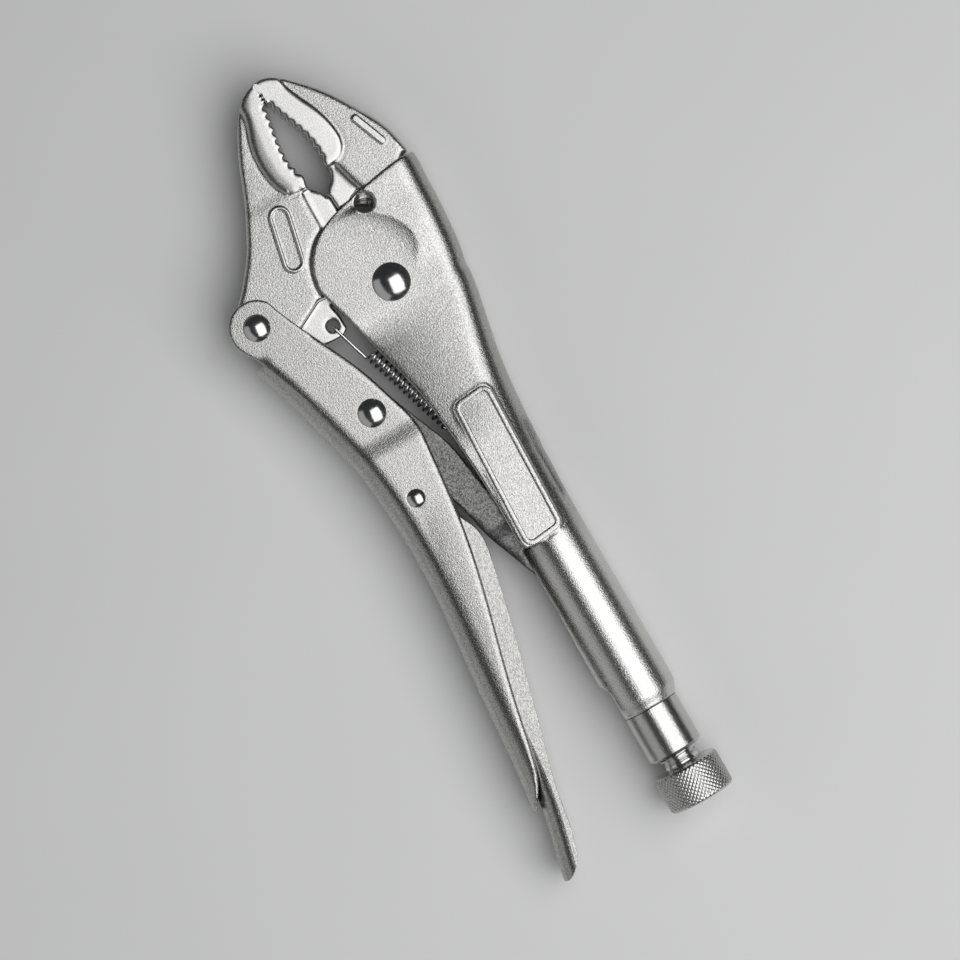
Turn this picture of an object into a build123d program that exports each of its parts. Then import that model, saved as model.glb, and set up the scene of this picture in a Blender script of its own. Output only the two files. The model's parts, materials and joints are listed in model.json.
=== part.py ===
from build123d import *
import math
import os

os.makedirs("parts", exist_ok=True)

# Locking pliers, lying on their side, jaws closed and the toggle locked.
# Places in the side view are measured from the main pivot: x runs along the
# barrel towards the knob, y towards the back of the body, z across the tool.

# ------------------------------------------------------------ driving sizes
# reach of the tool in the side view
jaw_tip_x = -71.2
release_tip_x = 179.2
back_top_y = 24.7
ear_bottom_y = -49.8

# pivots of the toggle linkage
lever_pin = (-7.9, -41.2)
toggle_pin = (30.7, -24.3)
release_pin = (58.9, -25.5)
thrust_x = 102.0

# jaws, measured from the middle plane
hub_half = 5.2
jaw_half = 6.1
lip_half = 6.8
spring_tab_half = 2.2
emboss = 0.35
tooth_depth = 1.1
tooth_lean = 0.68
nose_notch_depth = 0.35
nose_land = 0.5
nose_pitch = 1.3
tooth_pitch = 2.7
jaw_gap = 0.12

# body sheet, channel and barrel
body_wall = 2.4
hub_corner = 7.3
joggle_run = 4.5
rear_flank_outer = 9.9
axis_y = 3.6
barrel_radius = 10.35
barrel_start_x = 88.0
barrel_end_x = 147.0
barrel_bore = 7.95
crimp_length = 5.0
crimp_radius = 8.75
seam_half = 0.4
trim_length = 13.0
trim_y = -4.8
flank_hole = (-24.3, 4.7)
flank_hole_radius = 2.9
panel_rise = 0.1
panel_rib = 1.0
panel_rib_rise = 0.3
panel_round = 2.4

# operating lever and release lever
lever_wall = 2.0
lever_flare = 0.9
lever_web_start_x = 2.9
lever_end_x = 156.9
lever_corner = 6.8
lever_ear_radius = 8.4
release_wall = 1.4
release_corner = 5.0
release_gap = 0.9
release_ear_radius = 4.1

# toggle link
link_half = 5.9
link_tail_half = 2.4
link_depth = 7.25
link_tip_radius = 3.5
link_taper_start_x = 77.0
link_taper_end_x = 83.0

# rivets: shank, head and dome
main_shank = 3.6
main_head = 5.75
main_dome = 2.6
lever_shank = 2.6
lever_head = 4.1
toggle_shank = 2.75
toggle_head = 4.3
lever_dome = 1.9
release_shank = 1.6
release_head = 2.75
release_dome = 1.2

# adjusting screw, its threaded sleeve and the knob
thread_radius = 5.95
thread_pitch = 1.75
thread_height = 0.95
thread_show = 2.5
neck_length = 1.9
screw_tip_gap = 6.2
sleeve_radius = 8.55
sleeve_insert = 9.0
sleeve_collar = 15.4
sleeve_chamfer = 0.8
neck_radius = 5.4
knob_radius = 10.35
knob_length = 11.6
knob_round = 1.4
stub_radius = 4.0
stub_length = 8.0

# return spring
wire = 0.45
coil_radius = 1.95
coil_turns = 16
coil_start = (15.0, -15.8)
coil_slope = 17.6
coil_pitch = 1.9
tab_hole = (2.2, -21.7)
tab_hole_radius = 1.8
anchor_x = 55.0
anchor_hole = (-3.1, 0)
anchor_half = 2.5
anchor_strip = 18.2
anchor_hole_radius = 1.1
anchor_top_y = 13.2

# fits
side_clear = 0.1
running_fit = 0.05
nest_clear = 0.2
slot_clear = 0.3
wire_clear = 0.06

# ------------------------------------------------------------ derived sizes
flank_inner = hub_half + side_clear
flank_outer = flank_inner + body_wall
collar_outer = jaw_half + side_clear + body_wall
cheek_inner = jaw_half + side_clear
cheek_outer = cheek_inner + lever_wall
handle_outer = cheek_outer + lever_flare
handle_inner = handle_outer - lever_wall
release_outer = handle_inner - nest_clear
release_inner = release_outer - release_wall
slot_half = link_tail_half + slot_clear
thrust_point = (thrust_x, axis_y)
screw_tip_x = thrust_x + screw_tip_gap
sleeve_inner_x = barrel_end_x - sleeve_insert
sleeve_end_x = barrel_end_x + sleeve_collar
thread_end_x = sleeve_end_x + thread_show
knob_start_x = thread_end_x + neck_length
seam_start_x = thrust_x + 5
trim_start_x = barrel_end_x - trim_length
seam_end_x = trim_start_x
panel_outer = rear_flank_outer + panel_rise
window_x = anchor_x + body_wall + anchor_strip / 2

# The origin is under the middle of the tool, on the surface it lies on.
pivot_x = -(jaw_tip_x + release_tip_x) / 2
pivot_y = -(back_top_y + ear_bottom_y) / 2
mid_z = max(barrel_radius, knob_radius, flank_outer + main_dome)
side = Plane((pivot_x, pivot_y, mid_z))
screw_axis = Axis((pivot_x, pivot_y + axis_y, mid_z), (1, 0, 0))


def across(x):
    """Plane across the tool at x, drawn in (y, z)."""
    return Plane((pivot_x + x, pivot_y, mid_z), x_dir=(0, 1, 0), z_dir=(1, 0, 0))


def from_below(y):
    """Plane facing the lever side at height y, drawn in (x, z)."""
    return Plane((pivot_x, pivot_y + y, mid_z), x_dir=(1, 0, 0), z_dir=(0, -1, 0))


def pin_axis(pin):
    """Axis of a cross pin through the tool."""
    return Axis((pivot_x + pin[0], pivot_y + pin[1], mid_z), (0, 0, 1))


def arc_middle(centre, radius, degrees):
    """Point on a circle, used as the middle point of an arc."""
    turn = math.radians(degrees)
    return (centre[0] + radius * math.cos(turn), centre[1] + radius * math.sin(turn))


def arch_section(x, top, shoulder, corner, flank, joggle_y, wall, low):
    """Section of the body at x: round shoulders above two flanks, inset by a wall."""
    peak = top - wall
    wide = shoulder - wall
    narrow = flank - wall
    bend = corner - wall
    centre_y = peak - bend
    mid_y = joggle_y - joggle_run / 3
    mid_half = narrow + (wide - narrow) * 0.42
    foot_y = joggle_y - joggle_run
    with BuildSketch(across(x)) as section:
        with BuildLine():
            Polyline(
                (low, -narrow), (foot_y, -narrow), (mid_y, -mid_half), (joggle_y, -wide), (centre_y, -wide),
            )
            ThreePointArc(
                (centre_y, -wide), arc_middle((centre_y, bend - wide), bend, -45), (peak, bend - wide)
            )
            Line((peak, bend - wide), (peak, wide - bend))
            ThreePointArc(
                (peak, wide - bend), arc_middle((centre_y, wide - bend), bend, 45), (centre_y, wide)
            )
            Polyline((centre_y, wide), (joggle_y, wide), (mid_y, mid_half), (foot_y, narrow), (low, narrow))
            Line((low, narrow), (low, -narrow))
        make_face()
    return section.sketch


def trough_section(x, bottom, half, corner, wall, high):
    """Section of a lever at x: round corners below two flanks, inset by a wall."""
    floor = bottom + wall
    wide = half - wall
    bend = corner - wall
    centre_y = floor + bend
    with BuildSketch(across(x)) as section:
        with BuildLine():
            Line((high, -wide), (centre_y, -wide))
            ThreePointArc(
                (centre_y, -wide), arc_middle((centre_y, bend - wide), bend, 225), (floor, bend - wide)
            )
            Line((floor, bend - wide), (floor, wide - bend))
            ThreePointArc(
                (floor, wide - bend), arc_middle((centre_y, wide - bend), bend, 135), (centre_y, wide)
            )
            Line((centre_y, wide), (high, wide))
            Line((high, wide), (high, -wide))
        make_face()
    return section.sketch


def teeth(points, pitch, depth, lean, land=0.0):
    """Teeth along a smooth line through the points, valleys to its left.

    Of each pitch the land is the share left flat; the valley leans along the rest.
    """
    guide = Edge.make_spline([Vector(*point) for point in points])
    count = max(1, round(guide.length / pitch))
    zigzag = []
    for index in range(count):
        tip = guide.position_at(index / count)
        shelf = guide.position_at((index + land) / count)
        valley_share = (index + land + (1 - land) * lean) / count
        along = guide.tangent_at(valley_share)
        valley = guide.position_at(valley_share) + Vector(-along.Y, along.X) * depth
        zigzag.append((tip.X, tip.Y))
        if land > 0:
            zigzag.append((shelf.X, shelf.Y))
        zigzag.append((valley.X, valley.Y))
    zigzag.append((guide.position_at(1).X, guide.position_at(1).Y))
    return zigzag


def rivet_plane(pin):
    """Plane through a cross pin's axis, drawn in (radius, z)."""
    return Plane((pivot_x + pin[0], pivot_y + pin[1], mid_z), x_dir=(1, 0, 0), z_dir=(0, -1, 0))


# ------------------------------------------------------------------- body
# Stations along the body: x, top, shoulder half width, corner, flank, joggle.
# Ahead of the pivot the flanks are pressed in around the jaw hub.
front_stations = [
    (-31.0, 24.3, collar_outer, hub_corner, flank_outer, 7.2),
    (-21.0, back_top_y, collar_outer, hub_corner, flank_outer, 7.4),
    (-17.0, 24.6, collar_outer, hub_corner, flank_outer, 10.0),
    (-13.0, 24.4, collar_outer, hub_corner, flank_outer, 12.3),
    (-9.0, 24.1, collar_outer - 0.15, hub_corner, flank_outer, 13.0),
    (-4.0, 23.7, collar_outer - 0.55, hub_corner, flank_outer, 11.8),
    (1.0, 23.0, flank_outer + 0.05, hub_corner, flank_outer, 10.4),
    (8.0, 22.05, flank_outer + 0.03, hub_corner, flank_outer, 10.0),
]
rear_stations = [
    (8.0, 22.05, flank_outer, hub_corner, flank_outer, 10.0),
    (20.0, 20.0, flank_outer + 0.5, hub_corner + 0.6, flank_outer + 0.5, 6.0),
    (32.0, 17.6, flank_outer + 1.1, hub_corner + 1.3, flank_outer + 1.1, 4.0),
    (46.0, 15.8, flank_outer + 1.8, hub_corner + 2.1, flank_outer + 1.8, 2.0),
    (64.0, 14.2, rear_flank_outer, rear_flank_outer - 0.05, rear_flank_outer, 2.0),
]
barrel_top = axis_y + barrel_radius
channel_end = [
    rear_stations[-1],
    (barrel_start_x, barrel_top, rear_flank_outer, rear_flank_outer - 0.05, rear_flank_outer, 2.0),
]
channel_low = -26.0


def arch_sections(stations, wall, low):
    """Sections of the body through a run of stations."""
    return [arch_section(*station, wall, low) for station in stations]


def reach_forward(stations, amount):
    """The same stations with the first one carried forward."""
    return [(stations[0][0] - amount, *stations[0][1:]), *stations[1:]]


with BuildPart() as channel_cavity:
    loft(sections=arch_sections(reach_forward(front_stations, 2), body_wall, channel_low - 4))
    loft(sections=arch_sections(rear_stations, body_wall, channel_low - 4))
    loft(sections=arch_sections(channel_end, body_wall, channel_low - 4), ruled=True)

# The front edge and the underside of the flanks, ending in the lobe over the hub.
flank_edge = [
    (-30.6, 30.0), (-30.6, 22.0), (-29.0, 10.0), (-27.2, 1.5), (-24.0, -9.0), (-17.0, -17.0),
    (-8.0, -19.5), (0.0, -17.5), (10.0, -15.0), (30.0, -9.8), (50.0, -7.2), (68.0, -6.2), (85.0, -6.2),
]

# Corners of the framed panel, which follows the flank.
panel_corners = [(39.3, 9.7), (87.2, 8.2), (88.6, -4.9), (40.4, -2.9)]

with BuildPart() as body_channel:
    loft(sections=arch_sections(front_stations, 0, channel_low))
    loft(sections=arch_sections(rear_stations, 0, channel_low))
    loft(sections=arch_sections(channel_end, 0, channel_low), ruled=True)
    with BuildSketch(side):
        with BuildLine():
            edge = Spline(*flank_edge)
            Polyline(edge @ 1, (barrel_start_x, -5.0), (barrel_start_x, 30.0), edge @ 0)
        make_face()
    extrude(amount=2 * barrel_radius, both=True, mode=Mode.INTERSECT)
    add(channel_cavity.part, mode=Mode.SUBTRACT)
    # barrel with its crimped end
    with BuildSketch(side):
        with BuildLine():
            crimp = Spline(
                (barrel_end_x - crimp_length, axis_y + barrel_radius), (barrel_end_x, axis_y + crimp_radius),
                tangents=[(1, 0), (1, -0.1)],
            )
            Polyline(
                crimp @ 1, (barrel_end_x, axis_y + barrel_bore), (barrel_start_x, axis_y + barrel_bore),
                (barrel_start_x, axis_y + barrel_radius), crimp @ 0,
            )
        make_face()
    revolve(axis=screw_axis)
    # slot for the link, narrowing to the rolled seam
    with BuildSketch(from_below(axis_y)):
        with BuildLine():
            Polyline(
                (barrel_start_x - 1, slot_half), (seam_start_x, slot_half), (seam_end_x, seam_half),
                (barrel_end_x + 1, seam_half), (barrel_end_x + 1, -seam_half), (seam_end_x, -seam_half),
                (seam_start_x, -slot_half), (barrel_start_x - 1, -slot_half), close=True,
            )
        make_face()
    extrude(amount=2 * barrel_radius, mode=Mode.SUBTRACT)
    # underside of the barrel trimmed ahead of the crimp
    with BuildSketch(side):
        with BuildLine():
            trim = Spline(
                (trim_start_x - 1, trim_y - 3.2), (trim_start_x + 0.7, trim_y - 1.6),
                (trim_start_x + 3, trim_y - 0.3), (trim_start_x + 5, trim_y),
            )
            Polyline(trim @ 1, (barrel_end_x + 1, trim_y), (barrel_end_x + 1, trim_y - 3.2), trim @ 0)
        make_face()
    extrude(amount=barrel_radius, both=True, mode=Mode.SUBTRACT)
    # holes for the main rivet and the sight holes behind the upper jaw
    with BuildSketch(side):
        Circle(main_shank + running_fit)
        with Locations(flank_hole):
            Circle(flank_hole_radius)
    extrude(amount=2 * barrel_radius, both=True, mode=Mode.SUBTRACT)
    # framed panel on both flanks: a flat pad with a raised rib round it
    with BuildSketch(side.offset(rear_flank_outer - body_wall / 2)) as pad:
        with BuildLine():
            Polyline(*panel_corners, close=True)
        make_face()
        fillet(pad.vertices(), panel_round)
    pads = extrude(amount=panel_outer - rear_flank_outer + body_wall / 2)
    mirror(pads, about=side)
    # raised rib round the panel
    with BuildSketch(side.offset(panel_outer)) as frame:
        with BuildLine():
            Polyline(*panel_corners, close=True)
        make_face()
        fillet(frame.vertices(), panel_round)
        inner_frame = offset(frame.sketch, amount=-panel_rib, mode=Mode.PRIVATE)
        add(inner_frame, mode=Mode.SUBTRACT)
    ribs = extrude(amount=panel_rib_rise)
    mirror(ribs, about=side)
    # spring anchor, a strip bent in from the window left in the back
    with BuildSketch(from_below(back_top_y)):
        with Locations((window_x, 0)):
            Rectangle(anchor_strip, 2 * anchor_half + 0.2)
    extrude(amount=back_top_y - 5, mode=Mode.SUBTRACT)
    with BuildSketch(across(anchor_x)):
        with Locations((anchor_top_y - anchor_strip / 2, 0)):
            Rectangle(anchor_strip, 2 * anchor_half)
        with Locations(anchor_hole):
            Circle(anchor_hole_radius, mode=Mode.SUBTRACT)
    extrude(amount=body_wall)

body_channel.part.label = "body_channel"
export_step(body_channel.part, "parts/body_channel.step")

# ------------------------------------------------------------- upper jaw
# The lip profile starts and ends on the mouth; the outer curve is the forging.
mouth_nose = (jaw_tip_x + 0.35, -6.1)
mouth_throat = (-31.6, -4.0)
upper_nose_line = [(-69.3, -6.05), (-64.0, -5.7)]
upper_bite_line = [(-64.0, -5.7), (-60.0, -4.6), (-54.0, -2.3), (-48.0, -0.5), (-44.0, 0.0), (-40.6, -0.1)]
upper_throat_line = [(-40.6, -0.1), (-38.8, 0.6), (-36.6, 0.2), (-34.6, -1.1), (-31.6, -4.0)]
parting_y = -3.05

# The room that the body sheet and its clearance take around the jaw's tail.
with BuildPart() as jaw_sheath:
    loft(sections=arch_sections(front_stations, 0, channel_low))
    loft(
        sections=arch_sections(reach_forward(front_stations, 2), body_wall + side_clear, channel_low - 4),
        mode=Mode.SUBTRACT,
    )

with BuildPart() as upper_jaw:
    with BuildSketch(side):
        with BuildLine():
            back = Spline(
                mouth_nose, (jaw_tip_x + 0.02, -4.0), (-70.5, -1.4), (-69.0, 1.1), (-66.0, 4.3),
                (-60.0, 10.2), (-52.0, 15.6), (-44.0, 20.2), (-37.5, 22.6), (-31.6, 23.7),
                tangents=[(-0.2, 1), (1, 0.15)], tangent_scalars=[0.5, 0.5],
            )
            seat = Polyline(back @ 1, (-31.2, 21.8), (-15.0, 21.8))
            tail = Polyline(seat @ 1, (-17.2, 17.0), (-22.2, 9.2), (-23.2, 6.2), (-24.7, 3.4), (-25.6, 2.0))
            Polyline(tail @ 1, (-25.7, parting_y), (-31.0, parting_y - 0.2), mouth_throat)
            Spline(*reversed(upper_throat_line))
            Polyline(*reversed(teeth(upper_bite_line, tooth_pitch, tooth_depth, 1 - tooth_lean)))
            Polyline(*reversed(teeth(upper_nose_line, nose_pitch, nose_notch_depth, 0.5, nose_land)))
            Line(upper_nose_line[0], mouth_nose)
        make_face()
    extrude(amount=jaw_half, both=True)
    add(jaw_sheath.part, mode=Mode.SUBTRACT)
    # the tongue beside the hub is thinner
    for face_side in (1, -1):
        with BuildSketch(side.offset(face_side * jaw_half)):
            with BuildLine():
                Polyline(
                    (-38.7, -8.0), (-38.9, 3.2), (-36.0, 3.8), (-32.0, 4.9), (-28.4, 6.1), (-20.0, 8.2),
                    (-10.0, 8.2), (-10.0, -8.0), close=True,
                )
            make_face()
        extrude(amount=-face_side * (jaw_half - hub_half), mode=Mode.SUBTRACT)
    # raised lip along the bite
    for face_side in (1, -1):
        with BuildSketch(side.offset(face_side * jaw_half)):
            with BuildLine():
                lip = Spline(
                    (-69.1, 0.9), (-64.0, 2.2), (-60.0, 3.9), (-56.0, 5.8), (-52.0, 7.2), (-47.0, 8.1),
                    (-42.4, 7.6), (-40.0, 5.6), (-39.2, 2.6),
                )
                Polyline(lip @ 1, (-39.1, 0.5), (-40.6, -0.1))
                Polyline(*reversed(teeth(upper_bite_line, tooth_pitch, tooth_depth, 1 - tooth_lean)))
                Polyline(*reversed(teeth(upper_nose_line, nose_pitch, nose_notch_depth, 0.5, nose_land)))
                Polyline(upper_nose_line[0], (-70.8, -6.05), (-71.1, -4.0), (-70.45, -1.5), lip @ 0)
            make_face()
        extrude(amount=face_side * (lip_half - jaw_half))
    # raised bar on the cheek
    for face_side in (1, -1):
        with BuildSketch(side.offset(face_side * jaw_half)):
            with Locations((-42.3, 16.7)):
                SlotCenterToCenter(10.2, 1.9, rotation=21)
        extrude(amount=face_side * emboss)

upper_jaw.part.label = "upper_jaw"
export_step(upper_jaw.part, "parts/upper_jaw.step")

# ------------------------------------------------------------- lower jaw
lower_nose_line = [(-69.3, -6.05 - jaw_gap), (-64.0, -6.25)]
lower_bite_line = [
    (-40.6, -7.2), (-42.5, -7.7), (-46.0, -8.4), (-50.0, -8.3), (-54.0, -7.7), (-58.0, -7.0), (-64.0, -6.25),
]
lower_throat_line = [
    (-31.6, -4.3), (-33.4, -5.1), (-34.8, -6.3), (-36.6, -7.6), (-38.6, -7.2), (-40.6, -7.2),
]
lower_nose = teeth(lower_nose_line, nose_pitch, -nose_notch_depth, 0.5, nose_land)[::-1]
lever_ear_on_jaw = 8.6
hub_centre = (-9.0, -2.8)
hub_radius = 13.0
hub_pin_radius = 11.0

with BuildPart() as lower_jaw:
    with BuildSketch(side):
        with BuildLine():
            nose = Line((mouth_nose[0], mouth_nose[1] - jaw_gap), lower_nose_line[0])
            outer = Spline(
                nose @ 0, (-69.8, -9.6), (-66.0, -14.0), (-60.0, -18.0), (-52.0, -22.0), (-42.0, -26.0),
                (-34.0, -30.0), (-24.0, -36.3), (-16.0, -45.0), arc_middle(lever_pin, lever_ear_on_jaw, 235),
                tangents=[(0.18, -1), (0.82, -0.57)],
            )
            ear = ThreePointArc(
                outer @ 1, arc_middle(lever_pin, lever_ear_on_jaw, 280),
                arc_middle(lever_pin, lever_ear_on_jaw, 350),
            )
            Polyline(
                ear @ 1, (3.0, -34.0), (6.2, -27.0), (6.4, -20.4), (5.0, -18.1), (0.0, -18.3), (-3.6, -19.0),
                (-2.4, -14.0), (0.0, 0.0), hub_centre, (-22.0, -3.15), (-31.0, parting_y - jaw_gap - 0.2),
                lower_throat_line[0],
            )
            Spline(*lower_throat_line)
            Polyline(*teeth(lower_bite_line, tooth_pitch, tooth_depth, tooth_lean))
            Polyline(*lower_nose)
        make_face()
        with Locations(hub_centre):
            Circle(hub_radius)
        Circle(hub_pin_radius)
    extrude(amount=jaw_half, both=True)
    # thinner hub between the flanks and thinner spring tab at the tail
    for face_side in (1, -1):
        with BuildSketch(side.offset(face_side * jaw_half)):
            with BuildLine():
                rim = Spline(
                    (-23.6, -10.1), (-20.6, -15.0), (-16.2, -18.2), (-10.0, -19.9), (-5.6, -19.9),
                )
                Polyline(rim @ 1, (20.0, -19.9), (20.0, 16.0), (-36.1, 16.0), (-36.1, -9.9), rim @ 0)
            make_face()
        extrude(amount=-face_side * (jaw_half - hub_half), mode=Mode.SUBTRACT)
        with BuildSketch(side.offset(face_side * jaw_half)):
            with BuildLine():
                Polyline(
                    (-5.5, -16.0), (-5.9, -22.0), (-2.0, -29.5), (1.4, -36.0), (12.0, -36.0), (12.0, -16.0),
                    close=True,
                )
            make_face()
            with Locations(hub_centre):
                Circle(hub_radius + 0.5, mode=Mode.SUBTRACT)
        extrude(amount=-face_side * (jaw_half - spring_tab_half), mode=Mode.SUBTRACT)
    # raised lip along the bite
    for face_side in (1, -1):
        with BuildSketch(side.offset(face_side * jaw_half)):
            with BuildLine():
                lip = Spline(
                    (-66.4, -13.3), (-60.0, -14.4), (-56.0, -15.8), (-52.0, -16.6), (-48.0, -16.8),
                    (-44.0, -16.4), (-39.6, -15.0), (-37.4, -13.0), (-36.9, -10.4),
                )
                Polyline(lip @ 1, (-36.8, -7.9), (-38.6, -7.2), (-40.6, -7.2))
                Polyline(*teeth(lower_bite_line, tooth_pitch, tooth_depth, tooth_lean))
                Polyline(*lower_nose)
                Polyline(lower_nose_line[0], (-70.75, -6.3), (-70.3, -8.4), (-68.8, -11.2), lip @ 0)
            make_face()
        extrude(amount=face_side * (lip_half - jaw_half))
    # raised oval frame on the cheek, plain inside
    for face_side in (1, -1):
        with BuildSketch(side.offset(face_side * jaw_half)):
            with Locations((-26.2, -20.5)):
                SlotCenterToCenter(13.8, 6.2, rotation=-12.5)
                SlotCenterToCenter(13.8, 4.8, rotation=-12.5, mode=Mode.SUBTRACT)
        extrude(amount=face_side * emboss)
    # pin bores and the hole for the spring hook
    with BuildSketch(side):
        Circle(main_shank + running_fit)
        with Locations(lever_pin):
            Circle(lever_shank + running_fit)
        with Locations(tab_hole):
            Circle(tab_hole_radius)
    extrude(amount=2 * jaw_half, both=True, mode=Mode.SUBTRACT)

lower_jaw.part.label = "lower_jaw"
export_step(lower_jaw.part, "parts/lower_jaw.step")

# --------------------------------------------------------- operating lever
# Underside of the lever: x, y pairs; narrow between the ears, flared behind.
lever_front_bottom = [
    (lever_web_start_x, -48.6), (10.0, -46.0), (20.0, -43.0), (30.0, -40.4), (38.0, -38.2),
]
lever_rear_bottom = [
    (43.0, -37.15), (50.0, -36.2), (60.0, -35.3), (75.0, -34.9), (90.0, -35.6), (110.0, -37.5),
    (130.0, -39.3), (lever_end_x, -42.3),
]
lever_flare_bottom = [lever_front_bottom[-1], lever_rear_bottom[0]]
lever_high = -4.0
cavity_high = 4.0


def trough_run(bottoms, half, corner, wall, high):
    """Sections of a lever through a run of underside points."""
    return [trough_section(x, bottom, half, corner, wall, high) for x, bottom in bottoms]


def flare_run(wall, high):
    """The two sections between which the lever widens."""
    narrow, wide = lever_flare_bottom
    return [
        trough_section(*narrow, cheek_outer, lever_corner, wall, high),
        trough_section(*wide, handle_outer, lever_corner, wall, high),
    ]


def stretched(points, start, end):
    """The same points with both ends carried outwards in x."""
    return [(points[0][0] - start, points[0][1]), *points[1:-1], (points[-1][0] + end, points[-1][1])]


front_cavity_bottom = stretched(lever_front_bottom, 1, 0)
rear_cavity_bottom = stretched(lever_rear_bottom, 0, 1)

with BuildPart() as lever_cavity:
    loft(sections=trough_run(front_cavity_bottom, cheek_outer, lever_corner, lever_wall, cavity_high))
    loft(sections=flare_run(lever_wall, cavity_high), ruled=True)
    loft(sections=trough_run(rear_cavity_bottom, handle_outer, lever_corner, lever_wall, cavity_high))

with BuildPart() as lever_channel:
    loft(sections=trough_run(lever_front_bottom, cheek_outer, lever_corner, 0, lever_high))
    loft(sections=flare_run(0, lever_high), ruled=True)
    loft(sections=trough_run(lever_rear_bottom, handle_outer, lever_corner, 0, lever_high))
    add(lever_cavity.part, mode=Mode.SUBTRACT)
    # ears round the front pivot
    for face_side in (1, -1):
        with BuildSketch(side.offset(face_side * cheek_inner)):
            with BuildLine():
                lobe = ThreePointArc(
                    arc_middle(lever_pin, lever_ear_radius, 128),
                    arc_middle(lever_pin, lever_ear_radius, 200),
                    arc_middle(lever_pin, lever_ear_radius, 285),
                )
                Spline(
                    lobe @ 1, (-1.6, -47.2), (1.4, -45.5), (4.0, -44.4), tangents=[(0.97, 0.26), (1, 0.6)]
                )
                Polyline((4.0, -44.4), (20.0, -38.0), (20.0, -10.0), (-13.0, -30.0), lobe @ 0)
            make_face()
        extrude(amount=face_side * lever_wall)
    # upper edge of the cheeks and flanks
    with BuildSketch(side):
        with BuildLine():
            brow = ThreePointArc(
                arc_middle(lever_pin, lever_ear_radius, 270), arc_middle(lever_pin, lever_ear_radius, 190),
                arc_middle(lever_pin, lever_ear_radius, 128),
            )
            rim = Spline(
                brow @ 1, (-2.0, -30.1), (10.0, -24.3), (20.0, -20.0), (30.0, -16.8), (39.0, -14.4),
                (50.0, -14.8), (70.0, -17.1), (90.0, -21.0), (110.0, -26.2), (130.0, -31.0),
                (lever_end_x - 11.9, -34.6), (lever_end_x - 5.9, -37.1), (lever_end_x - 1.5, -40.4),
            )
            Polyline(rim @ 1, (lever_end_x + 2, -40.8), (lever_end_x + 2, -56.0), (-7.9, -56.0), brow @ 0)
        make_face()
    extrude(amount=2 * handle_outer, both=True, mode=Mode.INTERSECT)
    with BuildSketch(side):
        with Locations(lever_pin):
            Circle(lever_shank + running_fit)
        with Locations(toggle_pin):
            Circle(toggle_shank + running_fit)
        with Locations(release_pin):
            Circle(release_shank + running_fit)
    extrude(amount=2 * handle_outer, both=True, mode=Mode.SUBTRACT)

lever_channel.part.label = "lever_channel"
export_step(lever_channel.part, "parts/lever_channel.step")

# --------------------------------------------------------- release lever
# It nests in the lever, a gap above the web, and runs on past the lever's end.
release_lift = lever_wall + release_gap
release_nested = [(x, y + release_lift) for x, y in lever_rear_bottom[2:-1]]
release_bottom = [
    *release_nested, (lever_end_x, -39.4), (release_tip_x - 14.2, -41.1), (release_tip_x, -44.4),
]

with BuildPart() as release_cavity:
    loft(
        sections=trough_run(
            stretched(release_bottom, 1, 1), release_outer, release_corner, release_wall, cavity_high
        )
    )

with BuildPart() as release_lever:
    loft(sections=trough_run(release_bottom, release_outer, release_corner, 0, lever_high))
    add(release_cavity.part, mode=Mode.SUBTRACT)
    # front ears round the pivot
    for face_side in (1, -1):
        with BuildSketch(side.offset(face_side * release_inner)):
            with BuildLine():
                nose_arc = ThreePointArc(
                    arc_middle(release_pin, release_ear_radius, 90),
                    arc_middle(release_pin, release_ear_radius, 180),
                    arc_middle(release_pin, release_ear_radius, 270),
                )
                Polyline(
                    nose_arc @ 1, (66.0, -29.4), (76.0, -26.0), (76.0, -18.0), (70.0, -18.2), nose_arc @ 0
                )
            make_face()
        extrude(amount=face_side * release_wall)
    with BuildSketch(side):
        with BuildLine():
            crest = Spline(
                (54.0, -20.2), (62.0, -19.6), (70.0, -17.3), (75.0, -15.0), (79.0, -14.4), (85.0, -15.2),
                (100.0, -18.5), (120.0, -23.5), (140.0, -28.9), (release_tip_x - 24.2, -32.8),
                (release_tip_x - 9.2, -35.7), (release_tip_x - 4.7, -37.5), (release_tip_x, -42.8),
            )
            Polyline(crest @ 1, (release_tip_x - 0.6, -46.0), (50.0, -46.0), (50.0, -20.2), crest @ 0)
        make_face()
    extrude(amount=2 * handle_outer, both=True, mode=Mode.INTERSECT)
    with BuildSketch(side):
        with Locations(release_pin):
            Circle(release_shank + running_fit)
    extrude(amount=2 * handle_outer, both=True, mode=Mode.SUBTRACT)

release_lever.part.label = "release_lever"
export_step(release_lever.part, "parts/release_lever.step")

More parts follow.
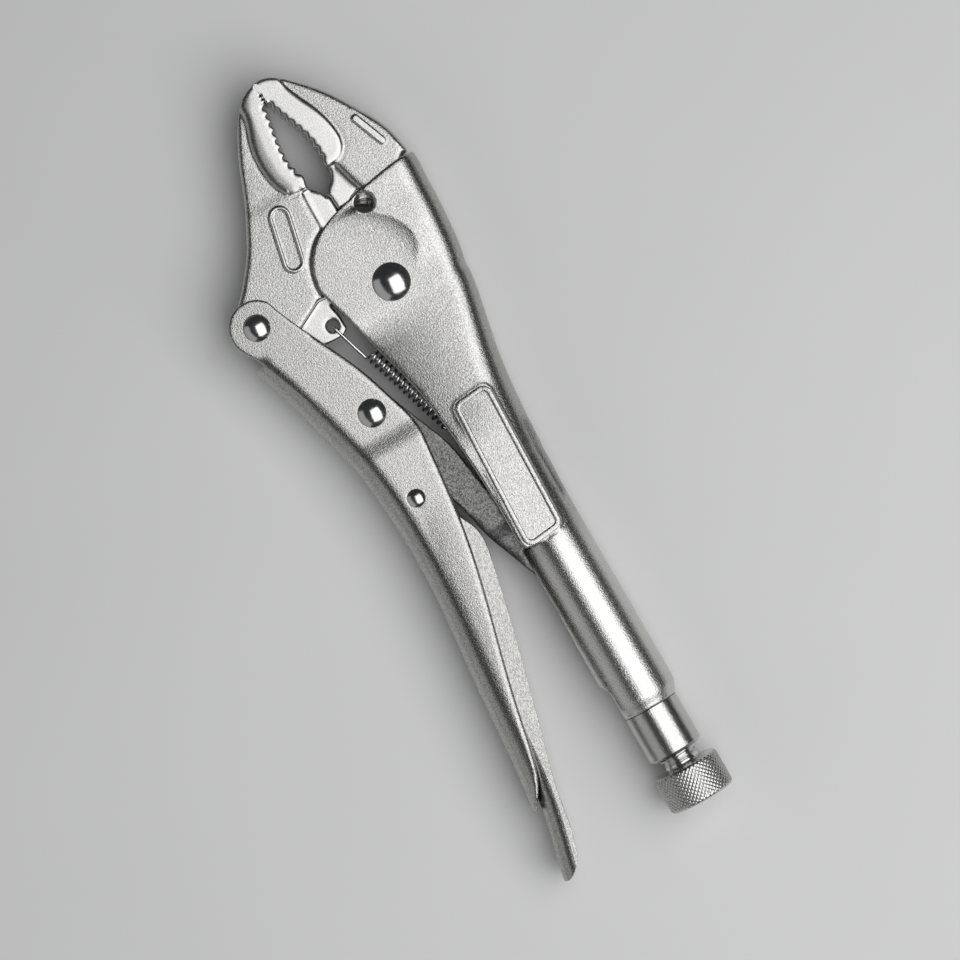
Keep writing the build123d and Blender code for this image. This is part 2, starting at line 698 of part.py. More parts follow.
# ------------------------------------------------------------ toggle link
with BuildPart() as toggle_link:
    with BuildSketch(side):
        with BuildLine():
            boss = ThreePointArc(
                arc_middle(toggle_pin, link_depth, 112), arc_middle(toggle_pin, link_depth, 200),
                arc_middle(toggle_pin, link_depth, 291),
            )
            belly = Spline(
                boss @ 1, (48.0, -24.0), (60.0, -18.6), (67.0, -15.7), (78.0, -13.2), (88.0, -9.6),
                (97.0, -6.0), (104.2, 0.9), tangents=[(0.93, 0.36), (0.3, 1)],
            )
            tip = ThreePointArc(
                belly @ 1, arc_middle(thrust_point, link_tip_radius, 10),
                arc_middle(thrust_point, link_tip_radius, 105),
            )
            Spline(
                tip @ 1, (92.0, 3.2), (80.0, -1.6), (68.0, -6.0), (57.0, -7.8), (50.0, -9.1), (40.0, -12.9),
                boss @ 0, tangents=[(-0.95, -0.3), (-0.93, -0.37)],
            )
        make_face()
    extrude(amount=link_half, both=True)
    # the tail narrows to pass through the slot of the barrel
    with BuildSketch(from_below(0)):
        with BuildLine():
            Polyline(
                (link_taper_start_x, link_half + 1), (link_taper_start_x, link_half),
                (link_taper_end_x, link_tail_half), (thrust_x + 10, link_tail_half),
                (thrust_x + 10, link_half + 1), close=True,
            )
        make_face()
        mirror(about=Plane.XZ)
    extrude(amount=40, both=True, mode=Mode.SUBTRACT)
    with BuildSketch(side):
        with Locations(toggle_pin):
            Circle(toggle_shank + running_fit)
    extrude(amount=2 * link_half, both=True, mode=Mode.SUBTRACT)

toggle_link.part.label = "toggle_link"
export_step(toggle_link.part, "parts/toggle_link.step")


# ---------------------------------------------------------------- rivets
def rivet_face(pin, shank, head, dome, seat):
    """Half section of a rivet through its axis: shank, flat seats, domed heads."""
    crown = (head * head + dome * dome) / (2 * dome)
    middle = head * 0.55
    middle_z = seat + dome - crown + math.sqrt(crown * crown - middle * middle)
    with BuildSketch(rivet_plane(pin)) as section:
        with BuildLine():
            lower = ThreePointArc((0, -seat - dome), (middle, -middle_z), (head, -seat))
            Polyline(lower @ 1, (shank, -seat), (shank, seat), (head, seat))
            upper = ThreePointArc((head, seat), (middle, middle_z), (0, seat + dome))
            Line(upper @ 1, lower @ 0)
        make_face()
    return section.sketch


main_section = rivet_face((0, 0), main_shank, main_head, main_dome, flank_outer)
lower_section = rivet_face(lever_pin, lever_shank, lever_head, lever_dome, cheek_outer)
toggle_section = rivet_face(toggle_pin, toggle_shank, toggle_head, lever_dome, cheek_outer)
release_section = rivet_face(release_pin, release_shank, release_head, release_dome, handle_outer)

with BuildPart() as main_pivot_rivet:
    revolve(main_section, axis=pin_axis((0, 0)))
main_pivot_rivet.part.label = "main_pivot_rivet"
export_step(main_pivot_rivet.part, "parts/main_pivot_rivet.step")

with BuildPart() as lower_pivot_rivet:
    revolve(lower_section, axis=pin_axis(lever_pin))
lower_pivot_rivet.part.label = "lower_pivot_rivet"
export_step(lower_pivot_rivet.part, "parts/lower_pivot_rivet.step")

with BuildPart() as toggle_rivet:
    revolve(toggle_section, axis=pin_axis(toggle_pin))
toggle_rivet.part.label = "toggle_rivet"
export_step(toggle_rivet.part, "parts/toggle_rivet.step")

with BuildPart() as release_rivet:
    revolve(release_section, axis=pin_axis(release_pin))
release_rivet.part.label = "release_rivet"
export_step(release_rivet.part, "parts/release_rivet.step")

# ------------------------------------------------- sleeve, screw and knob
with BuildPart() as threaded_sleeve:
    with BuildSketch(side):
        with BuildLine():
            Polyline(
                (sleeve_inner_x, axis_y + thread_radius + running_fit),
                (sleeve_inner_x, axis_y + barrel_bore - running_fit),
                (barrel_end_x, axis_y + barrel_bore - running_fit),
                (barrel_end_x, axis_y + sleeve_radius),
                (sleeve_end_x - sleeve_chamfer, axis_y + sleeve_radius),
                (sleeve_end_x, axis_y + sleeve_radius - sleeve_chamfer),
                (sleeve_end_x, axis_y + thread_radius + running_fit),
                close=True,
            )
        make_face()
    revolve(axis=screw_axis)
threaded_sleeve.part.label = "threaded_sleeve"
export_step(threaded_sleeve.part, "parts/threaded_sleeve.step")

with BuildPart() as adjusting_screw:
    root = thread_radius - thread_height
    profile = [(screw_tip_x, axis_y), (screw_tip_x, axis_y + root - 1.0), (screw_tip_x + 1.0, axis_y + root)]
    crests = int((thread_end_x - screw_tip_x - 2.0) / thread_pitch)
    first_crest_x = thread_end_x - 0.5 - (crests - 1) * thread_pitch
    for index in range(crests):
        crest_x = first_crest_x + index * thread_pitch
        profile.append((crest_x - 0.55, axis_y + root))
        profile.append((crest_x - 0.12, axis_y + thread_radius))
        profile.append((crest_x + 0.12, axis_y + thread_radius))
        profile.append((crest_x + 0.55, axis_y + root))
    profile.append((thread_end_x + 0.2, axis_y + root))
    profile.append((thread_end_x + 0.2, axis_y + neck_radius))
    profile.append((knob_start_x, axis_y + neck_radius))
    profile.append((knob_start_x, axis_y + stub_radius - running_fit))
    profile.append((knob_start_x + stub_length, axis_y + stub_radius - running_fit))
    profile.append((knob_start_x + stub_length, axis_y))
    with BuildSketch(side):
        with BuildLine():
            Polyline(*profile, close=True)
        make_face()
    revolve(axis=screw_axis)
adjusting_screw.part.label = "adjusting_screw"
export_step(adjusting_screw.part, "parts/adjusting_screw.step")

with BuildPart() as knurled_knob:
    with BuildSketch(across(knob_start_x)):
        with Locations((axis_y, 0)):
            Circle(knob_radius)
    extrude(amount=knob_length)
    fillet(knurled_knob.edges(), knob_round)
    with BuildSketch(across(knob_start_x)):
        with Locations((axis_y, 0)):
            Circle(stub_radius)
    extrude(amount=stub_length + 0.2, mode=Mode.SUBTRACT)
knurled_knob.part.label = "knurled_knob"
export_step(knurled_knob.part, "parts/knurled_knob.step")

# ---------------------------------------------------------- return spring
slope = math.radians(coil_slope)
coil_length = coil_turns * coil_pitch
along_coil = Vector(math.cos(slope), math.sin(slope), 0)
out_of_coil = Vector(-math.sin(slope), math.cos(slope), 0)
coil_origin = Vector(pivot_x + coil_start[0], pivot_y + coil_start[1], mid_z)
coil_plane = Plane(coil_origin, x_dir=-out_of_coil, z_dir=along_coil)
hook_z = spring_tab_half + wire + wire_clear
hook_down = Vector(pivot_x + tab_hole[0] + 0.9, pivot_y + tab_hole[1] + 0.2, mid_z)
hook_back = Vector(pivot_x + anchor_x + body_wall + 1.4, pivot_y + anchor_hole[0] + 0.6, mid_z)


def coil_point(along, out, across_tool):
    """Place near the coil: along its axis, out towards the back, across the tool."""
    return coil_origin + along_coil * along + out_of_coil * out + Vector(0, 0, across_tool)


with BuildPart() as tension_spring:
    with BuildLine() as coil_path:
        add(coil_plane * Helix(coil_pitch, coil_length, coil_radius, mode=Mode.PRIVATE))
    coil_wire = coil_path.wires()[0]
    with BuildSketch(Plane(coil_wire @ 0, z_dir=coil_wire % 0)):
        Circle(wire)
    sweep(path=coil_wire, is_frenet=True)
    # the front hook lies on the tab and turns down through its hole
    with BuildLine() as front_hook:
        FilletPolyline(
            coil_wire @ 0,
            coil_wire @ 0 - (coil_wire % 0) * 2.0,
            coil_point(-5.5, -coil_radius, hook_z),
            hook_down + Vector(0, 0, hook_z),
            hook_down - Vector(0, 0, spring_tab_half + 1.2),
            radius=0.7,
        )
    with BuildSketch(Plane(front_hook.wires()[0] @ 1, z_dir=front_hook.wires()[0] % 1)):
        Circle(wire)
    sweep(path=front_hook.wires()[0])
    # the rear hook passes the anchor's hole and turns up behind it
    with BuildLine() as rear_hook:
        FilletPolyline(
            coil_wire @ 1,
            coil_point(coil_length + 3.0, 0, 0),
            hook_back,
            hook_back + Vector(0, 2.6, 0),
            radius=0.7,
        )
    with BuildSketch(Plane(rear_hook.wires()[0] @ 1, z_dir=rear_hook.wires()[0] % 1)):
        Circle(wire)
    sweep(path=rear_hook.wires()[0])
tension_spring.part.label = "tension_spring"
export_step(tension_spring.part, "parts/tension_spring.step")

print("main pivot", pivot_x, pivot_y, mid_z)
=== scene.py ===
"""Locking pliers in nickel-plated steel, lying on a plain pale floor.

Lengths are in millimetres from the main pivot unless a name or a comment says otherwise:
x along the tool towards the knob, y towards its back, z across it.
"""
import json
import math

import bmesh
import bpy
import numpy as np
from mathutils import Matrix, Vector
from mathutils.kdtree import KDTree


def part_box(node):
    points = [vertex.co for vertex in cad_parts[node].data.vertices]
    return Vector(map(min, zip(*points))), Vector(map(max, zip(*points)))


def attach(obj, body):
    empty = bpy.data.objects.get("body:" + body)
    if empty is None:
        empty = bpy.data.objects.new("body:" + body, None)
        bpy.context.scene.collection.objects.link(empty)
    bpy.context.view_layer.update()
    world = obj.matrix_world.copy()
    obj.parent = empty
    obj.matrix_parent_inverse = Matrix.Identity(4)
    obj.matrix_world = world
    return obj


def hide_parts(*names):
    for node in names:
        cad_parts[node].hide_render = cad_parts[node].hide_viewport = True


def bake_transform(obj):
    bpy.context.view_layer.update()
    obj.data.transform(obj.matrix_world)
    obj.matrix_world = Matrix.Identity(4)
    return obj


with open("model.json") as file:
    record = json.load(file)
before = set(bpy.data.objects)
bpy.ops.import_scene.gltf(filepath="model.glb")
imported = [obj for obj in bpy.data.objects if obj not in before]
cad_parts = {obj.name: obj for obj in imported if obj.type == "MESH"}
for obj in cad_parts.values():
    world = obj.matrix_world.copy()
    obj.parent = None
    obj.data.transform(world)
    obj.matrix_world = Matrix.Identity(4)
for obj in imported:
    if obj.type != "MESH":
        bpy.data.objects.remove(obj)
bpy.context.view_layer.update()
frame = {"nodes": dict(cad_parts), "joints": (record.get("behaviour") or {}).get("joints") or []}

MM = 0.001
joint_places = {joint["name"]: joint.get("pos_m") for joint in frame["joints"]}
PIVOT = Vector(joint_places["jaw_pivot"])
SCREW_SHOULDER_X = Vector(joint_places["knob_turn"]).x
LEVER_PIN = [
    (pin - pivot) / MM for pin, pivot in zip(joint_places["lever_pivot"][:2], joint_places["jaw_pivot"][:2])
]

# the small round holes on the seam of the closed nose
NOSE_HOLES = [(-66.9, -6.05), (-65.6, -6.01), (-64.5, -5.99)]


def at(x, y, z=0.0):
    """A place of the tool as a vector of the frame, in metres."""
    return PIVOT + Vector((x, y, z)) * MM


# ---------------------------------------------------------------- materials
# distances from the mid plane: a jaw's lips turn smooth over the first, and its thinner tongue is
# smooth up to the second
LIP_HEIGHTS = (6.25, 6.55)
TONGUE_HEIGHTS = (5.3, 5.7)
# radius over which the painted shade of a nose hole goes from dark to plain metal
HOLE_RADII = (0.3, 0.42)
# stretch over which the flanks of the body give way to the barrel
BARREL_STRETCH = (84, 96)
SPECK_MM = 0.5
CLOUD_MM = 9


def node_adder(tree):
    """A helper that adds a node to a tree: inputs are linked outputs or values, settings its own."""
    def add(kind, inputs=None, **settings):
        node = tree.nodes.new(kind)
        for key, value in settings.items():
            if key in node.bl_rna.properties:
                setattr(node, key, value)
            else:
                node.inputs[key.replace("_", " ")].default_value = value
        for socket, source in (inputs or {}).items():
            if isinstance(source, bpy.types.NodeSocket):
                tree.links.new(source, node.inputs[socket])
            else:
                node.inputs[socket].default_value = source
        return node

    return add


def node_material(name):
    """A new material, its shader, and the helper that adds nodes to it."""
    material = bpy.data.materials.new(name)
    material.use_nodes = True
    tree = material.node_tree
    return material, tree.nodes["Principled BSDF"], node_adder(tree)


def link(source, target):
    """Links an output to an input of the same node tree."""
    target.id_data.links.new(source, target)


def noise(add, place, size_mm, detail, roughness):
    """A noise whose features are about as large as the size."""
    texture = add(
        "ShaderNodeTexNoise", {"Vector": place}, Scale=1 / (size_mm * MM), Detail=detail, Roughness=roughness,
    )
    return texture.outputs["Fac"]


def map_range(add, source, given, wanted):
    """Maps one range of a value onto another, and stops at its ends."""
    node = add(
        "ShaderNodeMapRange", {"Value": source},
        From_Min=given[0], From_Max=given[1], To_Min=wanted[0], To_Max=wanted[1],
    )
    return node.outputs["Result"]


def jaw_grain(add, place):
    """How strong a jaw's grain is: weak on its raised lips and on its thinner tongue."""
    split = add("ShaderNodeSeparateXYZ", {"Vector": place})
    height = add("ShaderNodeMath", {0: split.outputs["Z"], 1: PIVOT.z}, operation="SUBTRACT")
    reach = add("ShaderNodeMath", {0: height.outputs["Value"]}, operation="ABSOLUTE").outputs["Value"]
    lip = map_range(add, reach, [height * MM for height in LIP_HEIGHTS], (1.0, 0.15))
    tongue = map_range(add, reach, [height * MM for height in TONGUE_HEIGHTS], (0.25, 1.0))
    return add("ShaderNodeMath", {0: lip, 1: tongue}, operation="MULTIPLY").outputs["Value"]


def nose_hole_painted_shade(add, place):
    """Painted shade: 1 all over a jaw, and nearly 0 in the small round holes of the closed nose."""
    level = add("ShaderNodeVectorMath", {0: place, 1: (1.0, 1.0, 0.0)}, operation="MULTIPLY")
    shade = 1.0
    for hole in NOSE_HOLES:
        ends = {0: level.outputs["Vector"], 1: at(*hole).xy.to_3d()}
        away = add("ShaderNodeVectorMath", ends, operation="DISTANCE").outputs["Value"]
        pit = map_range(add, away, [radius * MM for radius in HOLE_RADII], (0.03, 1.0))
        shade = add("ShaderNodeMath", {0: pit, 1: shade}, operation="MULTIPLY").outputs["Value"]
    return shade


def towards_barrel(add, place, flank, barrel):
    """A value that goes from that of the flanks to that of the barrel along the body."""
    split = add("ShaderNodeSeparateXYZ", {"Vector": place})
    stretch = [PIVOT.x + x * MM for x in BARREL_STRETCH]
    return map_range(add, split.outputs["X"], stretch, (flank, barrel))


def plated_steel(
    name, tint, grain_mm, grain_depth_mm, roughness, edge_mm=0.3, speckle=0.0, jaw=False, barrel=False,
):
    """Nickel plate over blasted steel: fine grain, dark specks, cloudy gloss, softened edges.

    A jaw's raised lips and thinner tongue are smoother than the rest, and the holes in its nose are painted
    near black, a painted shade.
    With barrel the rear of the body is less specked than its flanks, and its colour is painted brighter
    there, a painted highlight.
    """
    material, shader, add = node_material(name)
    place = add("ShaderNodeTexCoord").outputs["Object"]
    grain = noise(add, place, grain_mm, 2.0, 0.6)
    specks = noise(add, place, SPECK_MM, 1.0, 0.7)
    cloud = noise(add, place, CLOUD_MM, 4.0, 0.6)
    grain_share = speck_share = tone = 1.0
    if jaw:
        grain_share = speck_share = jaw_grain(add, place)
        # painted shade: the colour goes near black in the nose holes
        tone = nose_hole_painted_shade(add, place)
    if barrel:
        speck_share = towards_barrel(add, place, 1.0, 0.35)
        # painted highlight: the barrel's colour is painted 22% brighter than the flanks of the same sheet
        tone = towards_barrel(add, place, 1.0, 1.22)
    dark, light = ((*(min(1.0, channel * share) for channel in tint), 1.0) for share in (0.94, 1.06))
    plate = add("ShaderNodeMix", {"Factor": cloud, "A": dark, "B": light}, data_type="RGBA")
    pits = map_range(add, specks, (0.38, 0.6), (1 - speckle, 1.0))
    colour = add(
        "ShaderNodeMix", {"Factor": speck_share, "A": plate.outputs["Result"], "B": pits},
        data_type="RGBA", blend_type="MULTIPLY",
    ).outputs["Result"]
    # the colour is scaled by painted shade in the nose holes and by painted light on the barrel
    if jaw or barrel:
        colour = add("ShaderNodeVectorMath", {0: colour, "Scale": tone}, operation="SCALE").outputs["Vector"]
    link(colour, shader.inputs["Base Color"])
    gloss = map_range(add, grain, (0.3, 0.7), (roughness - 0.05, roughness + 0.05))
    link(gloss, shader.inputs["Roughness"])
    edge = add("ShaderNodeBevel", samples=6, Radius=edge_mm * MM)
    bump = add(
        "ShaderNodeBump", {"Height": grain, "Normal": edge.outputs["Normal"], "Strength": grain_share},
        Distance=grain_depth_mm * MM,
    )
    link(bump.outputs["Normal"], shader.inputs["Normal"])
    shader.inputs["Metallic"].default_value = 1.0
    return material


def paint(obj, material):
    """Gives every slot of an object one material."""
    obj.data.materials.clear()
    obj.data.materials.append(material)


# tint, grain size and depth in mm, roughness, width of the softened edges in mm, depth of the specks
body_metal = plated_steel("body_metal", (0.56, 0.555, 0.545), 0.43, 0.08, 0.25, 0.25, 0.3, barrel=True)
lever_metal = plated_steel("lever_metal", (0.51, 0.505, 0.495), 0.43, 0.075, 0.25, 0.45, 0.3)
jaw_metal = plated_steel("jaw_metal", (0.57, 0.565, 0.555), 0.43, 0.08, 0.27, 0.12, 0.3, jaw=True)
release_metal = plated_steel("release_metal", (0.5, 0.495, 0.485), 0.42, 0.05, 0.26, 0.3, 0.35)
# the link's dark tint is partly painted shade, for the shadow it lies in between the lever and the body, and
# partly its own darker forged finish
link_metal = plated_steel("link_metal", (0.24, 0.238, 0.235), 0.43, 0.1, 0.36, 0.25, 0.6)
rivet_metal = plated_steel("rivet_metal", (0.6, 0.595, 0.59), 1.5, 0.006, 0.19, 0.1)
turned_metal = plated_steel("turned_metal", (0.62, 0.615, 0.605), 0.42, 0.05, 0.22, 0.3, 0.15)
screw_metal = plated_steel("screw_metal", (0.7, 0.695, 0.69), 1.0, 0.004, 0.18, 0.1)
knob_metal = plated_steel("knob_metal", (0.66, 0.655, 0.645), 0.5, 0.01, 0.24, 0.1, 0.2)
spring_metal = plated_steel("spring_metal", (0.82, 0.82, 0.82), 1.0, 0.003, 0.24, 0.05)

painted = {
    "body_channel": body_metal, "upper_jaw": jaw_metal, "lower_jaw": jaw_metal,
    "lever_channel": lever_metal, "release_lever": release_metal, "toggle_link": link_metal,
    "main_pivot_rivet": rivet_metal, "lower_pivot_rivet": rivet_metal, "toggle_rivet": rivet_metal,
    "release_rivet": rivet_metal, "threaded_sleeve": turned_metal, "adjusting_screw": screw_metal,
    "knurled_knob": knob_metal, "tension_spring": spring_metal,
}
for node, material in painted.items():
    paint(frame["nodes"][node], material)


# ------------------------------------------------------------------ pieces
def ride_as_piece(name, mesh, material, body, slot, *nodes):
    """Makes a smooth piece of a mesh that rides on a body, and may stand for CAD nodes."""
    mesh.update()
    for face in mesh.polygons:
        face.use_smooth = True
    piece = bpy.data.objects.new(name, mesh)
    bpy.context.scene.collection.objects.link(piece)
    paint(piece, material)
    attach(piece, body)
    if nodes:
        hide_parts(*nodes)


def mesh_of_rings(name, rings, closed=False):
    """A mesh of rings of points, joined one to the next; closed joins the last to the first, too."""
    columns = len(rings[0])
    points = [tuple(point) for ring in rings for point in ring]
    faces = []
    for row in range(len(rings) if closed else len(rings) - 1):
        near, far = row * columns, (row + 1) % len(rings) * columns
        for column in range(columns):
            beside = (column + 1) % columns
            faces.append((near + column, near + beside, far + beside, far + column))
    if not closed:
        faces.append(tuple(reversed(range(columns))))
        faces.append(tuple(range(len(points) - columns, len(points))))
    mesh = bpy.data.meshes.new(name)
    mesh.from_pydata(points, [], faces)
    return mesh


# ---------------------------------------------------------- knob and screw
KNURL_DEPTH = 0.3
KNOB_CORNER = 1.4


def round_box(node):
    """A node turned about the tool's length: its ends, its middle in y and z, and its radius, in metres."""
    low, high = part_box(node)
    middle = ((low.y + high.y) / 2, (low.z + high.z) / 2)
    return low.x, high.x, middle, (high.y - low.y) / 2


def turned_ring(x, middle, reaches):
    """A ring of points round the tool's length at x, as far out as each of the reaches, in metres."""
    ring = []
    for index, reach in enumerate(reaches):
        turn = 2 * math.pi * index / len(reaches)
        ring.append((x, middle[0] + reach * math.cos(turn), middle[1] + reach * math.sin(turn)))
    return ring


def paint_groove_shade(material, node, depth_mm, corner_mm):
    """Paints shade into a turned node's knurl: the bottoms darker than its tops, away from its rounded ends.
    """
    low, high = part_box(node)
    radius = (high.y - low.y) / 2
    straight = (high.x - low.x) / 2 - corner_mm * MM
    crest = 0.05 * MM
    fade = 0.4 * MM
    shader = material.node_tree.nodes["Principled BSDF"]
    plain = shader.inputs["Base Color"].links[0].from_socket
    add = node_adder(material.node_tree)
    place = add("ShaderNodeTexCoord").outputs["Object"]
    offset = add("ShaderNodeVectorMath", {0: place, 1: (low + high) / 2}, operation="SUBTRACT")
    offset = offset.outputs["Vector"]
    across = add("ShaderNodeVectorMath", {0: offset, 1: (0.0, 1.0, 1.0)}, operation="MULTIPLY")
    reach = add("ShaderNodeVectorMath", {0: across.outputs["Vector"]}, operation="LENGTH")
    split = add("ShaderNodeSeparateXYZ", {"Vector": offset})
    along = add("ShaderNodeMath", {0: split.outputs["X"]}, operation="ABSOLUTE")
    # painted shade: down to 12% of the plain colour at the bottom of a groove
    tops = map_range(add, reach.outputs["Value"], (radius - depth_mm * MM, radius - crest), (0.12, 1.0))
    ends = map_range(add, along.outputs["Value"], (straight, straight + fade), (1.0, 0.0))
    shade = add(
        "ShaderNodeMix", {"Factor": ends, "A": plain, "B": tops}, data_type="RGBA", blend_type="MULTIPLY",
    )
    link(shade.outputs["Result"], shader.inputs["Base Color"])


def knurled_knob():
    """The knob: a turned blank with a diamond knurl cut into its rim."""
    start, end, middle, radius = round_box("knurled_knob")
    diamonds, samples, arc_steps = 44, 8, 8
    groove_start = 0.68
    length = end - start
    corner = KNOB_CORNER * MM
    depth = KNURL_DEPTH * MM
    lead = 2 * math.pi * radius / diamonds
    straight = length - 2 * corner
    rim_steps = round(straight / (lead / samples))
    arc = [math.radians(90 * step / arc_steps) for step in range(arc_steps + 1)]
    rising = [corner * (1 - math.cos(swing)) for swing in arc]
    falling = [corner * (1 - math.sin(swing)) for swing in arc]
    profile = [(along, radius - short) for along, short in zip(rising, falling)]
    profile += [(corner + straight * step / rim_steps, radius) for step in range(1, rim_steps)]
    profile += [(length - short, radius - along) for along, short in zip(rising, falling)]
    turns = [2 * math.pi * index / (diamonds * samples) for index in range(diamonds * samples)]
    rings = []
    for along, out in profile:
        # the knurl fades out on the rounded corners
        fade = min(1.0, max(0.0, (out - (radius - 0.55 * corner)) / (0.45 * corner)))
        reaches = []
        for turn in turns:
            first = (turn * radius + along) / lead
            second = (turn * radius - along) / lead
            groove = max(abs(2 * (first % 1) - 1), abs(2 * (second % 1) - 1))
            reaches.append(out - depth * fade * max(0.0, groove - groove_start) / (1 - groove_start))
        rings.append(turned_ring(start + along, middle, reaches))
    name = "knurled_knob_turned"
    ride_as_piece(name, mesh_of_rings(name, rings), knob_metal, "knob", "knob_steel", "knurled_knob")


def adjusting_screw():
    """The screw with its helical thread, relief and polished neck, and the stub inside the knob."""
    start, end, middle, crest = round_box("adjusting_screw")
    pitch, depth = 1.75 * MM, 0.95 * MM
    neck, stub = 5.4 * MM, 3.95 * MM
    relief = 0.2 * MM
    crest_share, flank_share = 0.12, 0.72
    columns, steps_per_pitch = 72, 14
    neck_start = SCREW_SHOULDER_X - 1.7 * MM
    threaded = neck_start - start
    rows = int(threaded / pitch * steps_per_pitch)
    rings = []
    for row in range(rows + 1):
        along = threaded * row / rows
        # the thread runs out at both ends
        fade = max(0.0, min(1.0, along / (1.5 * pitch), (threaded - along) / (0.4 * pitch)))
        reaches = []
        for column in range(columns):
            phase = (along / pitch - column / columns) % 1
            flank = min(1.0, max(0.0, (abs(2 * phase - 1) - crest_share) / flank_share))
            reaches.append(crest - depth + depth * flank * fade)
        rings.append(turned_ring(start + along, middle, reaches))
    for x, reach in (
        (neck_start, neck - relief), (neck_start + relief, neck), (SCREW_SHOULDER_X - 0.02 * MM, neck),
        (SCREW_SHOULDER_X, stub), (end, stub),
    ):
        rings.append(turned_ring(x, middle, [reach] * columns))
    name = "adjusting_screw_threaded"
    ride_as_piece(name, mesh_of_rings(name, rings), screw_metal, "screw", "screw_steel", "adjusting_screw")


# ------------------------------------------------------------- even shapes
def even_copy(node, voxel_mm):
    """A closed copy of a CAD node's mesh in even small faces."""
    blank = bpy.data.objects.new(node + "_blank", frame["nodes"][node].data.copy())
    bpy.context.scene.collection.objects.link(blank)
    shape = bmesh.new()
    shape.from_mesh(blank.data)
    bmesh.ops.remove_doubles(shape, verts=shape.verts, dist=1e-6)
    shape.to_mesh(blank.data)
    shape.free()
    remesh = blank.modifiers.new("even", "REMESH")
    remesh.mode = "VOXEL"
    remesh.voxel_size = voxel_mm * MM
    bpy.context.view_layer.update()
    even = bpy.data.meshes.new_from_object(blank.evaluated_get(bpy.context.evaluated_depsgraph_get()))
    bpy.data.objects.remove(blank)
    return even


def vertex_field(mesh, name):
    """A vector of each vertex of a mesh, as rows."""
    values = np.zeros(len(mesh.vertices) * 3)
    mesh.vertices.foreach_get(name, values)
    return values.reshape(-1, 3)


def ease(value, low, high):
    """A smooth rise from 0 at low to 1 at high."""
    part = np.clip((value - low) / (high - low), 0, 1)
    return part * part * (3 - 2 * part)


def quarter_round(away, wide):
    """How far a rounded edge has dropped at a distance from it, as a share of its depth."""
    inward = np.clip(1 - away / wide, 0, 1)
    return 1 - np.sqrt(1 - inward * inward)


def polyline_marks(corners, spacing=0.3):
    """Points along a polyline, about evenly spaced."""
    marks = []
    for (x0, y0), (x1, y1) in zip(corners, corners[1:]):
        count = max(1, int(math.hypot(x1 - x0, y1 - y0) / spacing))
        marks += [(x0 + (x1 - x0) * step / count, y0 + (y1 - y0) * step / count) for step in range(count)]
    return marks


class EvenShape:
    """A CAD node's mesh in even small faces, whose points are moved before it becomes a piece.

    The points move; x, y and z keep where they were at first, and normal the way they faced.
    """

    def __init__(self, node, voxel_mm):
        self.node = node
        self.mesh = even_copy(node, voxel_mm)
        self.points = (vertex_field(self.mesh, "co") - np.array(PIVOT)) / MM
        self.normal = vertex_field(self.mesh, "normal")
        self.x, self.y, self.z = self.points.T.copy()

    @property
    def height(self):
        """How far each point is now from the mid plane."""
        return abs(self.points[:, 2])

    def shares(self, value):
        """The same share for each point and axis."""
        return np.full((len(self.points), 3), value)

    def sink(self, amount, where=slice(None)):
        """Moves points towards the mid plane."""
        self.points[where, 2] -= np.sign(self.points[where, 2]) * amount

    def raise_to(self, height, where):
        """Puts points at a height on their side of the mid plane."""
        self.points[:, 2] = np.where(where, np.sign(self.points[:, 2]) * height, self.points[:, 2])

    def away_from(self, marks, where=slice(None)):
        """Distance in the side view from points to the nearest of the marks."""
        tree = KDTree(len(marks))
        for index, (x, y) in enumerate(marks):
            tree.insert((x, y, 0.0), index)
        tree.balance()
        return np.array([tree.find((x, y, 0.0))[2] for x, y in self.points[where, :2]])

    def marks(self, chosen, every):
        """Every so many of the chosen points, in the side view."""
        return self.points[chosen][::every, :2]

    def relax(self, share, rounds):
        """Draws each point towards its neighbours, by a share per point and axis."""
        count = len(self.points)
        ends = np.zeros(len(self.mesh.edges) * 2, dtype=np.int64)
        self.mesh.edges.foreach_get("vertices", ends)
        first, second = ends.reshape(-1, 2).T
        neighbours = np.bincount(first, minlength=count) + np.bincount(second, minlength=count)
        for _ in range(rounds):
            total = np.zeros_like(self.points)
            for axis in range(3):
                total[:, axis] += np.bincount(first, weights=self.points[second, axis], minlength=count)
                total[:, axis] += np.bincount(second, weights=self.points[first, axis], minlength=count)
            self.points += share * (total / neighbours[:, None] - self.points)

    def become(self, name, material, body, slot):
        """Makes the piece that stands for the node."""
        self.mesh.vertices.foreach_set("co", (self.points * MM + np.array(PIVOT)).reshape(-1))
        ride_as_piece(name, self.mesh, material, body, slot, self.node)


# ------------------------------------------------------------- forged jaws
JAW_VOXEL = 0.2
# half thickness of a jaw's cheeks; the raised lips round the mouth stand higher
CHEEK = 6.2
MOUTH_X = -34
NOSE_X = -63.9
# the seam of the nose: where it starts, its length, and each jaw's y there and rise along it
SEAM_START_X = -69.3
SEAM_LENGTH = 5.3
UPPER_SEAM = (-6.05, 0.35)
LOWER_SEAM = (-6.17, -0.08)
NOSE_OVERLAP = 0.12
EAR_RADIUS = 8.5
# the sight hole in the upper jaw, and the line behind it from which its tail is thin
SIGHT_HOLE = (-24.3, 4.7)
TAIL_EDGE = (-24.7, 3.4)
TAIL_INWARD = (-0.918, 0.397)
# the crease across the lower lip
CREASE_X = (-70, -65.2, -58.4, -51.5, -44.6, -39)
CREASE_Y = (-8.0, -10.7, -12.0, -13.0, -12.8, -11.0)
# where a jaw steps down to its thinner tongue, in the side view
SEATS = {
    "upper_jaw": [(-36.0, 3.8), (-32.0, 4.9), (-28.4, 6.1), (-20.0, 8.2)],
    "lower_jaw": [
        (-33.5, -9.95), (-23.6, -10.1), (-22.4, -12.6), (-20.6, -15.0), (-18.6, -16.8), (-16.2, -18.2),
        (-13.2, -19.3), (-10.0, -19.9), (-5.6, -19.9),
    ],
}


